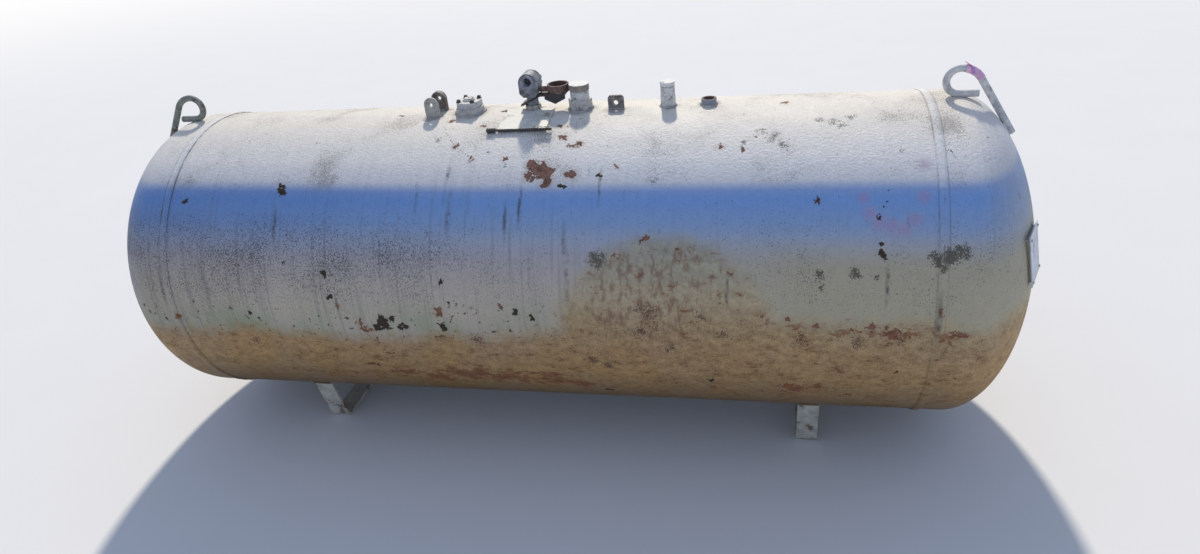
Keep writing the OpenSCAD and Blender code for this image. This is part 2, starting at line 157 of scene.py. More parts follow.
def buildStudio():
    bpy.ops.mesh.primitive_plane_add(size=60)
    floor = bpy.context.object
    floor.name = "studioFloor"
    material, add = newMaterial("Matt studio floor", None, 0.9)
    tree = material.node_tree
    shader = tree.nodes["Principled BSDF"]
    place = add("TexCoord", out=3)
    grain = add("TexNoise", place, Scale=3, Detail=3)
    tone = add("MixRGB", grain, studio["floorTone"], studio["floorPale"])
    tree.links.new(tone, shader.inputs["Base Color"])
    away = add("VectorMath LENGTH", place, out=1)
    fade = add("MapRange", away, studio["fadeStart"], studio["fadeEnd"], interpolation_type="SMOOTHSTEP")
    white = add("Emission", Color=(1, 1, 1, 1), Strength=1)
    mixed = add("MixShader", fade, shader.outputs[0], white)
    tree.links.new(mixed, tree.nodes["Material Output"].inputs["Surface"])
    floor.data.materials.append(material)

    world = bpy.data.worlds.new("studioWorld")
    bpy.context.scene.world = world
    world.use_nodes = True
    tree = world.node_tree
    add = partial(addNode, tree)
    sky = tree.nodes["Background"]
    sky.inputs["Color"].default_value = hexColour(studio["skyTone"])
    sky.inputs["Strength"].default_value = studio["skyLevel"]
    white = add("Background", Color=(1, 1, 1, 1), Strength=1)
    rays = add("LightPath", out=None)
    seen = add("Math MAXIMUM", rays["Is Camera Ray"], rays["Is Glossy Ray"])
    seen = add("Math MAXIMUM", seen, rays["Is Transmission Ray"])
    mixed = add("MixShader", seen, sky.outputs[0], white)
    tree.links.new(mixed, tree.nodes["World Output"].inputs["Surface"])

    shine = (-Vector(studio["sunFrom"])).to_track_quat("-Z", "Y")
    bpy.ops.object.light_add(type="SUN", location=(0, 0, 4), rotation=shine.to_euler())
    sun = bpy.context.object
    sun.name = "softSun"
    sun.data.energy = studio["sunLevel"]
    sun.data.angle = math.radians(studio["sunSoftness"])
    sun.data.color = hexColour(studio["sunTone"])[:3]


buildStudio()
print("studio built")

# Old white enamel on rolled steel, brushed on and left outdoors for decades: a chalky crown, a blue grey band
# under it on the front that is painted sky-lit shade, mildew specks and rain streaks, rust where it has
# chipped, and soil below, with a painted reflection of the ground's horizon in it and painted shade at the
# underside.
# Heights run from 0 at the underside to 1 at the crown
tankLook = {
    # On the front the blue grey stops from 0.75 to 0.864 are painted sky-lit shade, below the line where the
    # light leaves the crown
    "front": [
        (0.00, "#8d8c86"), (0.40, "#afa99b"), (0.53, "#c2b7a4"), (0.62, "#bfb5a7"), (0.70, "#b3adae"),
        (0.75, "#a8b0c0"), (0.79, "#91a9cd"), (0.845, "#80a6dc"), (0.864, "#93aeda"), (0.884, "#e4e2e1"),
        (0.93, "#f2ede6"), (1.00, "#e4ddd1")],
    "back": [
        (0.00, "#8d8c86"), (0.40, "#aeaca3"), (0.56, "#b4b0a2"), (0.70, "#b9b9b5"), (0.85, "#bdbcb8"),
        (0.95, "#c9c5bc"), (1.00, "#dcd6ca")],
    # Soil by height; its dark end at the underside is painted shade
    "soilWithPaintedLight": [
        (0.00, "#4a4033"), (0.14, "#76603f"), (0.24, "#a38052"), (0.33, "#c09a64"), (0.42, "#c19c6c"),
        (0.50, "#bda177"), (0.60, "#bdac8c"), (0.70, "#aaa58d"), (0.80, "#a1a092")],
    "flank": [(0.1, 0.2), (0.38, 0.5), (0.5, 1.0), (0.74, 1.0), (0.84, 0.4), (0.92, 0.16), (1.0, 0.1)],
    "upper": [(0.0, 0.0), (0.50, 0.15), (0.60, 0.75), (0.70, 1.0), (0.77, 0.75), (0.83, 0.1), (1.0, 0.0)],
    # Where the painted sky-lit shade is deepest
    "skyShadeBand": [(0.69, 0.0), (0.80, 1.0), (0.86, 1.0), (0.89, 0.0)],
    "drySoil": "#7d7566",
    "grime": "#806544",
    "grain": "#64482e",
    "domePaintedShade": "#9da6b5",
    "streak": "#70737a",
    "mildew": "#3c4043",
    "rightGreyGreen": "#b3ab90",
    "algae": "#8f9d7c",
    "skyShadeBlue": "#6188c4",
    "crownDirt": "#776f66",
    "seamPaintedHighlight": "#e6e7ea",
    "seamDirtAndShade": "#55514d",
    "drip": "#4f4e4c",
    "rustDark": "#4f392e",
    "rustLight": "#8a675a",
    "rustOrange": "#99603c",
    "lowRust": "#875239",
    "halo": "#ad8a6c",
    "bareBlack": "#35312b",
    "chipBrown": "#675037",
    "lichen": "#4c4a3e",
    "speckle": "#5c403a",
    "scratches": "#4c4b4a",
    "crack": "#6b5a49",
    "scuff": "#b08fae",
    "red": "#7b5747",
}

# Marks seen on the front: x along the tank in mm, angle down from the crown in degrees, and size in mm
rustPatches = [
    (52, 35, 22), (34, 33, 14), (68, 39, 14), (26, 37, 13), (72, 36, 11), (127, 37, 12), (132, 24, 10),
    (111, 25, 6), (89, 20, 8), (73, 14, 7), (90, 14, 6), (-119, 30, 7), (-167, 24, 6), (-40, 30, 6),
    (444, 27, 8), (494, 28, 5), (517, 22, 5), (228, 34, 6), (-209, 8, 8), (-119, 13, 7), (580, 1, 7),
    (-887, 89, 8), (-382, 93, 10), (-393, 89, 7), (-436, 84, 5), (-189, 85, 10), (-39, 82, 5),
    (290, 59, 7), (366, 62, 5), (228, 64, 5), (473, 70.5, 5), (595, 85, 8), (544, 84, 5), (788, 87, 6),
    (731, 89, 6), (892, 82, 6)]
wideRust = [
    (-345, 104, 6), (-409, 112, 8), (-611, 120, 6), (652, 87, 6), (799, 89, 8), (933, 89, 7),
    (596, 115, 9), (724, 121, 6), (758, 87, 5), (699, 88, 4), (-480, 119, 5), (-545, 121, 5)]
blackChips = [
    (-582, 42, 15), (-21, 47.5, 5), (-844, 45, 7), (-465, 71, 10), (-457, 80, 7), (-559, 68, 4),
    (-680, 87, 7), (-330, 90, 17), (-351, 92, 10), (-309, 88, 10), (-285, 92, 10), (-446, 92, 6),
    (-182, 91, 10), (-160, 81, 4), (-145, 82, 5), (-169, 74, 6), (-1, 85, 9), (38, 86, 6), (772, 61, 7),
    (775, 64, 9), (426, 114, 8), (176, 126, 8), (103, 41, 7), (191, 37, 5), (-86, 1, 8), (782, 41.5, 3.5),
    (786, 44, 3), (785, 47, 4), (778, 49, 3), (769, 52, 4)]
softPatches = {
    # The round hump is a painted reflection of the ground's horizon
    "horizonReflection": [(330, 93.4, 236)],
    "blister": [(250, 72, 70), (340, 70, 80), (400, 71, 60), (220, 83, 70), (330, 84, 90)],
    "lowRust": [
        (-340, 117, 26), (-250, 119, 34), (-150, 116, 40), (-50, 117, 44), (45, 118, 38), (120, 121, 24),
        (625, 117, 24), (700, 89, 9), (770, 88.5, 13), (835, 89, 11), (905, 90, 12), (560, 86, 8),
        (610, 88, 9)],
    "lichen": [
        (189, 66, 20), (655, 70, 11), (725, 69, 13), (662, 74, 7), (763, 70, 7), (901, 64, 20),
        (878, 65, 15), (924, 63, 17), (890, 67, 12)],
    "speckle": [
        (-107, 96, 24), (-696, 100, 22), (282, 91, 27), (342, 97, 17), (458, 91, 20), (410, 84, 20),
        (277, 82, 17), (159, 104, 29), (194, 107, 22), (300, 84, 30), (620, 92, 20), (735, 93, 22),
        (820, 91, 18)],
    "scratches": [
        (680, 16, 19), (701, 18, 18), (657, 14.5, 14), (723, 14, 17), (560, 22, 26), (580, 26, 22),
        (535, 20, 18), (500, 25, 16), (306, 39, 16), (814, 30, 9), (-82, 27, 8), (-37, 33, 9),
        (-215, 20, 15), (909, 31, 8), (-330, 90, 30), (-440, 84, 14), (-180, 90, 14)],
    "scuff": [
        (740, 46, 12), (751, 51, 12), (770, 54, 14), (793, 55, 14), (816, 56, 13), (838, 53, 12),
        (854, 46, 12), (858, 35, 12)],
    "drips": [
        (116, 62, 5), (121, 70, 6), (-590, 55, 4), (-440, 86, 4), (-155, 50, 5), (-235, 46, 4),
        (12, 48, 4), (786, 73, 4), (889, 86, 6), (468, 75, 3.5), (-20, 54, 4), (190, 41, 4), (-167, 38, 5),
        (-900, 50, 3), (-902, 64, 4), (-908, 78, 4)],
    "crack": [
        (-218, 12, 2), (-214, 13.1, 1.6), (-210, 14.2, 2), (-203, 16.5, 1.8), (-197, 17.7, 2),
        (-191, 19.1, 1.6), (-184, 20.6, 2.4), (-179, 21.5, 2), (-173, 22.6, 1.6), (-168, 23.6, 2.4),
        (-160, 24.6, 1.8), (-151, 25.7, 2), (-144, 26.5, 1.6), (-136, 27.5, 2), (-129, 28.4, 2.4)],
    # Dirt and painted shade round the fittings' feet
    "feet": [
        (-175, 0, 38), (-12, 0, 22), (106, 0, 32), (194, 2, 20), (317, 0, 20), (412, 0, 20),
        (-263, -4, 22), (-263, 4, 22)],
}


def nearestMark(add, flatPlace, marks, squeeze=(1, 1)):
    # Distance to the nearest mark, where 1 is that mark's edge; squeeze makes the marks wider or taller
    nearest = 9.0
    for x, angle, size in marks:
        centre = (x * mm * squeeze[0], math.radians(angle) * tankRadius * squeeze[1], 0)
        away = add("VectorMath DISTANCE", flatPlace, centre, out=1)
        away = add("Math DIVIDE", away, size * mm)
        nearest = add("Math MINIMUM", away, nearest)
    return nearest


def tankPaint():
    look = tankLook
    material, add = newMaterial("Weathered brushed enamel", "tank_paint", 0.5, 0.2)
    place = add("TexCoord", out=3)
    x, y, z = add("SeparateXYZ", place, out=None)

    # Unroll the tank: x along it, and the arc from the crown towards the front
    up = add("Math SUBTRACT", z, axisHeight)
    front = add("Math MULTIPLY", y, -1)
    angle = add("Math ARCTAN2", front, up)
    arc = add("Math MULTIPLY", angle, tankRadius)
    flatPlace = add("CombineXYZ", x, arc)

    # Ragged edges of 5 to 20 mm, pushed into every pattern that has an outline
    clouds = add("TexNoise", place, Scale=6, Detail=6, Roughness=0.62)
    ragged = add("TexNoise", place, Scale=60, Detail=5, Roughness=0.65)
    push = add("TexNoise", place, Scale=45, Detail=4, Roughness=0.65, out=1)
    push = add("VectorMath SUBTRACT", push, (0.5, 0.5, 0.5))
    push = add("VectorMath SCALE", push, Scale=0.045)
    pushed = add("VectorMath ADD", flatPlace, push)

    # Base tone by height, a little higher at the left end, so the painted shade's edge sits higher there; on
    # the front the blue grey band is painted sky-lit shade, and the sunny back is paler and has no blue
    level = add("MapRange", z, crownHeight - 2 * tankRadius, crownHeight)
    tilt = add("MapRange", x, -0.1, -0.9, 0, -0.014)
    level = add("Math ADD", level, tilt)
    tone = add("ValToRGB", level, stops=look["front"])
    backTone = add("ValToRGB", level, stops=look["back"])
    behind = add("MapRange", y, -0.06, 0.16, interpolation_type="SMOOTHSTEP")
    tone = add("MixRGB", behind, tone, backTone)
    facing = add("SeparateXYZ", add("NewGeometry", out=1))
    endFacing = add("Math ABSOLUTE", facing)
    # Painted sky-lit shade: the heads turn blue grey where they face along the tank
    domePaintedShade = add("MapRange", endFacing, 0.15, 0.75, 0, 0.62)
    tone = add("MixRGB", domePaintedShade, tone, look["domePaintedShade"])
    # Painted sky-lit shade: a deeper blue over the front's band, stronger towards the left end
    deep = add("ValToRGB", level, stops=look["skyShadeBand"])
    leftSkyShade = add("MapRange", x, -0.05, -0.6, 0, 0.4)
    deep = add("Math MULTIPLY", deep, leftSkyShade)
    inFront = add("Math SUBTRACT", 1, behind)
    deep = add("Math MULTIPLY", deep, inFront)
    tone = add("MixRGB", deep, tone, look["skyShadeBlue"])
    flank = add("ValToRGB", level, stops=look["flank"])

    # Rain streaks 5 to 30 mm apart that run down the curve, by x on the shell and by y on the domes,
    # and fewer of them towards the right end
    byX = add("Mapping", place, Scale=(95, 3, 3))
    byY = add("Mapping", place, Scale=(3, 95, 3))
    streakX = add("TexNoise", byX, Scale=1, Detail=5, Roughness=0.6)
    streakY = add("TexNoise", byY, Scale=1, Detail=5, Roughness=0.6)
    onDome = add("MapRange", endFacing, 0.45, 0.75)
    streak = add("Mix", onDome, None, streakX, streakY)
    streak = add("MapRange", streak, 0.51, 0.7, 0, 0.5)
    streak = add("Math MULTIPLY", streak, flank)
    fewer = add("MapRange", x, 0, 0.35, 1, 0.4)
    streak = add("Math MULTIPLY", streak, fewer)
    tone = add("MixRGB", streak, tone, look["streak"])

    # A dull grey green tone on the right half, from the middle of the flank down to the soil
    rightGreyGreen = add("MapRange", x, 0.3, 0.62, 0, 0.82)
    rightGreyGreenHigh = add("MapRange", level, 0.765, 0.69)
    rightGreyGreen = add("Math MULTIPLY", rightGreyGreen, rightGreyGreenHigh)
    tone = add("MixRGB", rightGreyGreen, tone, look["rightGreyGreen"])

    # Mildew: dark specks of 1 to 4 mm, thick in clouds on the flanks and thickest towards the left end,
    # with a thin scatter on the crown
    bySpeck = add("Mapping", place, Scale=(390, 280, 280))
    specks = add("TexNoise", bySpeck, Scale=1, Detail=4, Roughness=0.7)
    leftEnd = add("MapRange", x, 0.15, -0.6, 0, 0.09)
    density = add("MapRange", clouds, 0.3, 0.75, -0.015, 0.12)
    density = add("Math ADD", density, leftEnd)
    upper = add("ValToRGB", level, stops=look["upper"])
    density = add("Math MULTIPLY", density, upper)
    mildew = add("Math ADD", specks, density)
    mildew = add("MapRange", mildew, 0.61, 0.7, 0, 0.8)
    tone = add("MixRGB", mildew, tone, look["mildew"])
    crownDirt = add("Math ADD", specks, clouds)
    crownDirt = add("MapRange", crownDirt, 1.07, 1.2, 0, 0.6)
    onCrown = add("MapRange", level, 0.86, 0.885)
    crownDirt = add("Math MULTIPLY", crownDirt, onCrown)
    tone = add("MixRGB", crownDirt, tone, look["crownDirt"])

    # Green algae over the soil at the left, and the soil splashed up from the ground: its ragged edge
    # climbs from left to right, with one round hump that is a painted reflection of the ground's horizon
    edge = add("MapRange", x, -0.35, 0.6, 0.445, 0.535)
    above = add("Math SUBTRACT", level, edge)
    algae = add("MapRange", above, 0.13, 0.02, 0, 0.7)
    algaeHere = add("MapRange", x, 0.16, 0)
    algae = add("Math MULTIPLY", algae, algaeHere)
    patchy = add("MapRange", clouds, 0.4, 0.6)
    algae = add("Math MULTIPLY", algae, patchy)
    tone = add("MixRGB", algae, tone, look["algae"])
    frayed = add("Math ADD", clouds, ragged)
    above = add("Math MULTIPLY_ADD", frayed, -0.11, above)
    soilWithPaintedLight = add("MapRange", above, -0.08, -0.14)
    # Painted reflection: the round hump, in the soil's tone, is the ground's horizon reflected in the paint
    horizonReflection = nearestMark(add, pushed, softPatches["horizonReflection"])
    horizonReflection = add("Math MULTIPLY_ADD", frayed, -0.16, horizonReflection)
    horizonReflection = add("MapRange", horizonReflection, 0.92, 0.76)
    soilWithPaintedLight = add("Math MAXIMUM", soilWithPaintedLight, horizonReflection)
    thin = add("MapRange", clouds, 0.32, 0.62, 0.74, 0.97)
    cover = add("Math MULTIPLY", soilWithPaintedLight, thin)
    # The soil's tone darkens to painted shade at the underside
    soilAndShadeTone = add("ValToRGB", level, stops=look["soilWithPaintedLight"])
    drySoil = add("MapRange", behind, 0, 1, 0, 0.62)
    soilAndShadeTone = add("MixRGB", drySoil, soilAndShadeTone, look["drySoil"])
    tone = add("MixRGB", cover, tone, soilAndShadeTone)

    # In the soil: smears of browner grime, patches of rust low down and fine dark grains. Over all of it
    # a mottling of 2 to 8 mm, and a darker left end
    bySmear = add("Mapping", place, Scale=(28, 40, 46))
    smears = add("TexNoise", bySmear, Scale=1, Detail=8, Roughness=0.85)
    flat = (0.4, 1, 1)
    flattened = add("VectorMath MULTIPLY", pushed, flat)
    lowRust = nearestMark(add, flattened, softPatches["lowRust"], flat[:2])
    lowRust = add("MapRange", lowRust, 1.3, 0.3, 0, 0.14)
    lowRust = add("Math ADD", smears, lowRust)
    lowRust = add("MapRange", lowRust, 0.575, 0.605, 0, 0.85)
    lowRust = add("Math MULTIPLY", lowRust, soilWithPaintedLight)
    smears = add("MapRange", smears, 0.45, 0.62, 0, 0.65)
    thinner = add("MapRange", level, 0.5, 0.62, 1, 0.35)
    thinner = add("Math MULTIPLY", thinner, soilWithPaintedLight)
    smears = add("Math MULTIPLY", smears, thinner)
    tone = add("MixRGB", smears, tone, look["grime"])
    grains = add("MapRange", specks, 0.5, 0.62, 0, 0.6)
    grains = add("Math MULTIPLY", grains, thinner)
    tone = add("MixRGB", lowRust, tone, look["lowRust"])
    tone = add("MixRGB", grains, tone, look["grain"])
    contrast = add("MapRange", soilWithPaintedLight, 0, 1, 0.25, 0.8)
    mottle = add("Math ADD", ragged, specks)
    mottle = add("Math SUBTRACT", mottle, 1)
    mottle = add("Math MULTIPLY_ADD", mottle, contrast, 1)
    leftShade = add("MapRange", x, -1.1, -0.62, 0.74, 1)
    leftCrown = add("MapRange", x, 0.1, -0.5, 1, 0.94)
    leftShade = add("Mix", flank, None, leftCrown, leftShade)
    mottle = add("Math MULTIPLY", mottle, leftShade)
    tone = add("VectorMath SCALE", tone, Scale=mottle)

    # Red brown runs of 10 to 30 mm where the splashed paint has blistered
    blister = nearestMark(add, flatPlace, softPatches["blister"])
    blister = add("MapRange", blister, 1.3, 0.5, 0, 0.16)
    byRun = add("Mapping", flatPlace, Scale=(72, 27, 1))
    runs = add("TexNoise", byRun, Scale=1, Detail=4, Roughness=0.65)
    runs = add("Math ADD", runs, blister)
    runs = add("MapRange", runs, 0.64, 0.76, 0, 0.6)
    tone = add("MixRGB", runs, tone, look["red"])

    # Black bits of 3 to 8 mm in a band over the edge of the soil, on the left half
    bits = add("MapRange", ragged, 0.622, 0.642, 0, 0.9)
    band = add("MapRange", above, 0, -0.04)
    bits = add("Math MULTIPLY", bits, band)
    band = add("MapRange", above, -0.17, -0.13)
    bits = add("Math MULTIPLY", bits, band)
    bits = add("Math MULTIPLY", bits, algaeHere)
    tone = add("MixRGB", bits, tone, look["bareBlack"])

    # The girth seams stand out pale on the crown, partly as a painted highlight, between two thin lines of
    # dirt and painted shade at the beads' edges; dirt and painted shade sit round each fitting
    fromSeam = add("Math ABSOLUTE", x)
    fromSeam = add("Math SUBTRACT", fromSeam, seamX)
    fromSeam = add("Math ABSOLUTE", fromSeam)
    # Pale seam crest on the crown: pale paint and a painted highlight
    onSeam = add("MapRange", fromSeam, 0.0088, 0.0078)
    seamHigh = add("MapRange", level, 0.865, 0.9, 0, 0.3)
    onSeam = add("Math MULTIPLY", onSeam, seamHigh)
    tone = add("MixRGB", onSeam, tone, look["seamPaintedHighlight"])
    # Thin dark lines at the beads' edges: dirt and painted shade
    seamDirtAndShade = add("Math SUBTRACT", fromSeam, 0.0102)
    seamDirtAndShade = add("Math ABSOLUTE", seamDirtAndShade)
    seamStrong = add("MapRange", x, -0.5, 0.5, 0.7, 0.3)
    seamDirtAndShade = add("MapRange", seamDirtAndShade, 0.0018, 0.0008, 0, seamStrong)
    worn = add("MapRange", frayed, 0.86, 1.06)
    seamDirtAndShade = add("Math MULTIPLY", seamDirtAndShade, worn)
    seamLow = add("MapRange", level, 0.5, 0.88, 0.35, 1)
    seamDirtAndShade = add("Math MULTIPLY", seamDirtAndShade, seamLow)
    # Dirt and painted shade round the foot of each fitting
    feet = nearestMark(add, pushed, softPatches["feet"])
    feet = add("MapRange", feet, 1.5, 0.9, 0, 0.5)
    dirt = add("Math MAXIMUM", feet, seamDirtAndShade)
    tone = add("MixRGB", dirt, tone, look["seamDirtAndShade"])

    # Marks that show in the photograph, softest first
    scuff = nearestMark(add, flatPlace, softPatches["scuff"])
    scuff = add("MapRange", scuff, 1.7, 0.3, 0, 1)
    scuff = add("Math MULTIPLY", scuff, ragged)
    tone = add("MixRGB", scuff, tone, look["scuff"])
    longWays = add("VectorMath SCALE", push, Scale=0.3)
    longWays = add("VectorMath ADD", longWays, flatPlace)
    tall = (1, 0.1, 1)
    longWays = add("VectorMath MULTIPLY", longWays, tall)
    drips = nearestMark(add, longWays, softPatches["drips"], tall[:2])
    drips = add("MapRange", drips, 1.5, 0.4, 0, 0.8)
    gappy = add("MapRange", frayed, 0.8, 1.1)
    drips = add("Math MULTIPLY", drips, gappy)
    tone = add("MixRGB", drips, tone, look["drip"])
    for kind, thick in (("lichen", -1.05), ("speckle", -1.47), ("scratches", -1.5)):
        # Dots that thin out with the distance from the patch's middle
        patch = nearestMark(add, pushed, softPatches[kind])
        patch = add("Math MULTIPLY_ADD", specks, -4, patch)
        patch = add("MapRange", patch, thick, thick - 0.25, 0, 0.85)
        tone = add("MixRGB", patch, tone, look[kind])
    crack = nearestMark(add, flatPlace, softPatches["crack"])
    crack = add("MapRange", crack, 1.2, 0.7, 0, 0.75)
    tone = add("MixRGB", crack, tone, look["crack"])

    # Small rust spots of 3 to 12 mm scattered all over, and the larger patches with an orange halo
    spots = add("TexVoronoi", pushed, Scale=17, out=None)
    spotSize = add("SeparateXYZ", spots["Color"])
    spotSize = add("MapRange", spotSize, 0.74, 1, 0, 0.11)
    spot = add("Math SUBTRACT", spotSize, spots["Distance"])
    spot = add("MapRange", spot, 0, 0.015)
    rustMark = nearestMark(add, pushed, rustPatches)
    wideMark = nearestMark(add, flattened, wideRust, flat[:2])
    rustMark = add("Math MINIMUM", rustMark, wideMark)
    halo = add("MapRange", rustMark, 2, 0.9, 0, 0.35)
    tone = add("MixRGB", halo, tone, look["halo"])
    rustMark = add("Math MULTIPLY_ADD", ragged, -3.4, rustMark)
    rust = add("MapRange", rustMark, -0.66, -0.8)
    rust = add("Math MAXIMUM", rust, spot)
    inner = add("MapRange", rustMark, -0.75, -1.1, 0.2, 1)
    blotch = add("MapRange", ragged, 0.34, 0.56)
    blotch = add("Math MULTIPLY", blotch, inner)
    lowDown = add("MapRange", level, 0.6, 0.4)
    rustHigh = add("MixRGB", lowDown, look["rustLight"], look["rustOrange"])
    rustTone = add("MixRGB", blotch, look["rustDark"], rustHigh)
    tone = add("MixRGB", rust, tone, rustTone)
    blackMark = nearestMark(add, pushed, blackChips)
    blackMark = add("Math MULTIPLY_ADD", ragged, -3, blackMark)
    blackMark = add("MapRange", blackMark, -0.42, -0.56)
    chipTone = add("MixRGB", blotch, look["bareBlack"], look["chipBrown"])
    tone = add("MixRGB", blackMark, tone, chipTone)

    # Chalky on top, a little gloss left on the flanks, dull on rust and soil
    dull = add("Math MAXIMUM", rust, blackMark)
    gloss = add("MapRange", clouds, 0.35, 0.65, 0.52, 0.68)
    rough = add("Mix", dull, None, gloss, 0.85)

    # Chips are cut 0.3 mm into the paint, over a coarse grain of 3 to 8 mm left by the brush
    chips = add("Math MULTIPLY", dull, -0.3)
    grain = add("TexNoise", place, Scale=170, Detail=3, Roughness=0.6)
    height = add("Math MULTIPLY_ADD", grain, 1.7, chips)
    bump = add("Bump", Strength=1, Distance=mm, Height=height)
    return finishMaterial(material, tone, bump, rough)


# Finishes of the fittings: two tones in patches, another where the noise peaks, a worn tone on the
# edges and one for the sides that is dirt and painted shade. Scales are noise cycles per metre
fittingLooks = {
    "Flaking paint on bar": {
        "slot": "bar_paint", "low": "#a5a7ab", "high": "#dad9d6", "bare": "#6c5a4d", "edge": "#e6e4df",
        "roughness": 0.6, "share": 0.6, "scale": 60},
    "Dull grey paint on plate": {
        "slot": "bar_paint", "low": "#8b8983", "high": "#bcb9b1", "bare": "#584a40", "edge": "#d5d2ca",
        "roughness": 0.6, "share": 0.57, "scale": 80},
    "Dirty bar, olive grey": {
        "slot": "bar_paint", "low": "#5c605b", "high": "#959990", "bare": "#4d4136", "edge": "#cfcdc4",
        "roughness": 0.6, "share": 0.57, "scale": 60},
    "Dirty plate, brown grey": {
        "slot": "bar_paint", "low": "#5e5b5b", "high": "#95928f", "bare": "#5b4a43", "edge": "#b9b6b0",
        "roughness": 0.65, "share": 0.54, "scale": 75},
    "Cracked white paint on coupling": {
        "slot": "bar_paint", "low": "#9b9a98", "high": "#c9c8c3", "bare": "#5f574e", "edge": "#d8d6d0",
        "roughness": 0.6, "share": 0.6, "scale": 84},
    "Weathered cast valve metal": {
        "slot": "valve_metal", "low": "#575a62", "high": "#9296a0", "bare": "#463f3b", "edge": "#b9bcc3",
        "roughness": 0.55, "share": 0.56, "scale": 80},
    "Chalky paint on valve necks": {
        "slot": "valve_metal", "low": "#a3a4a6", "high": "#dcdbd7", "bare": "#5c554f", "edge": "#e6e4df",
        "roughness": 0.6, "share": 0.62, "scale": 108},
    # Its side tone is dirt in the grip and painted shade
    "Chalky cap, grip in dirt and painted shade": {
        "slot": "cap_metal", "low": "#cfcfcb", "high": "#e6e4df", "bare": "#8d867a", "edge": "#bdb7ac",
        "side": "#766b63", "roughness": 0.65, "share": 0.6, "scale": 80},
    "Chalky rain cap": {
        "slot": "cap_metal", "low": "#c9c9c6", "high": "#e6e4e0", "bare": "#8f8a82", "edge": "#e4e2dc",
        "roughness": 0.65, "share": 0.6, "scale": 80},
    "Peeled paint and dry dirt": {
        "slot": "cap_metal", "low": "#bcaa88", "high": "#efe9da", "bare": "#7b5d42", "edge": "#f2ecdf",
        "roughness": 0.7, "share": 0.55, "scale": 130},
    "Dull sheet, painted over": {
        "slot": "bright_metal", "low": "#bdbbb0", "high": "#dcdad2", "bare": "#8d887c", "edge": "#8f8c85",
        "roughness": 0.5, "share": 0.58, "scale": 45},
    "Dirty black iron": {
        "slot": "dark_iron", "low": "#1c1d22", "high": "#3a3a3f", "bare": "#4b3b33", "edge": "#55504d",
        "roughness": 0.6, "share": 0.56, "scale": 60},
    "Red brown rusted iron": {
        "slot": "rusty_iron", "low": "#46332f", "high": "#84706a", "bare": "#6a4339", "edge": "#a8938e",
        "roughness": 0.85, "share": 0.55, "scale": 90},
    "Rusty bore, painted outside": {
        "slot": "rusty_iron", "low": "#40302d", "high": "#77605a", "bare": "#6b4337", "edge": "#96807a",
        "outside": "#8f96a4", "roughness": 0.8, "share": 0.6, "scale": 90},
    "Bleached marking tape": {
        "slot": "ribbon", "low": "#a06bb0", "high": "#d9a6cf", "bare": "#7b4796", "edge": "#e2b9d2",
        "roughness": 0.4, "share": 0.55, "scale": 110},
    "Crumpled white paint on plate": {
        "slot": "tank_paint", "low": "#aeb6c2", "high": "#e2e4e8", "bare": "#7e8790", "edge": "#5f666d",
        "roughness": 0.5, "share": 0.64, "scale": 36},
    "Grey tan paint on foot strap": {
        "slot": "tank_paint", "low": "#a8a496", "high": "#c9c5b8", "bare": "#6f5a45", "edge": "#8b7a66",
        "roughness": 0.6, "share": 0.56, "scale": 50},
}


def fittingPaint(name):
    look = fittingLooks[name]
    material, add = newMaterial(name, look["slot"], look["roughness"])
    place = add("TexCoord", out=3)
    scale, dullness, share = look["scale"], look["roughness"], look["share"]
    patch = add("TexNoise", place, Scale=scale, Detail=6, Roughness=0.68)
    broad = add("TexNoise", place, Scale=scale * 0.45, Detail=5, Roughness=0.6)
    blend = add("MapRange", patch, 0.36, 0.62)
    tone = add("MixRGB", blend, look["low"], look["high"])
    faces = add("NewGeometry", out=None)
    # Sides darker than the top: dirt in the grip and painted shade, as only the top catches the light
    if "side" in look:
        shadedSides = add("SeparateXYZ", faces["True Normal"], out=2)
        shadedSides = add("MapRange", shadedSides, 0.8, 0.5, 0, 0.9)
        tone = add("MixRGB", shadedSides, tone, look["side"])
    if "outside" in look:
        # Paint is left on the outer wall, from 1 mm inside it
        centre = middle("open_coupling")
        across = add("VectorMath MULTIPLY", place, (1, 1, 0))
        across = add("VectorMath DISTANCE", across, (centre.x, centre.y, 0), out=1)
        across = add("MapRange", across, 0.0162, 0.017, 0, 0.9)
        tone = add("MixRGB", across, tone, look["outside"])
    bare = add("MapRange", broad, share, share + 0.05, 0, 0.9)
    tone = add("MixRGB", bare, tone, look["bare"])

    # Corners within 1.2 mm are rubbed, where the bevelled normal leaves the flat one
    rounded = add("Bevel", Radius=1.2 * mm, samples=4)
    turned = add("VectorMath DOT_PRODUCT", rounded, faces["True Normal"], out=1)
    worn = add("MapRange", turned, 0.995, 0.9)
    patches = add("MapRange", patch, 0.42, 0.55, 0, 0.85)
    worn = add("Math MULTIPLY", worn, patches)
    tone = add("MixRGB", worn, tone, look["edge"])
    rough = add("MapRange", patch, 0.3, 0.7, dullness - 0.1, dullness + 0.12)
    pits = add("TexNoise", place, Scale=scale * 6, Detail=3)
    depth = add("Math MULTIPLY_ADD", bare, -0.5, pits)
    bump = add("Bump", Strength=0.6, Distance=0.5 * mm, Height=depth)
    return finishMaterial(material, tone, bump, rough)


enamel = tankPaint()
looks = {name: fittingPaint(name) for name in fittingLooks}
darkIron = looks["Dirty black iron"]
rustyIron = looks["Red brown rusted iron"]
valvePaint = looks["Weathered cast valve metal"]

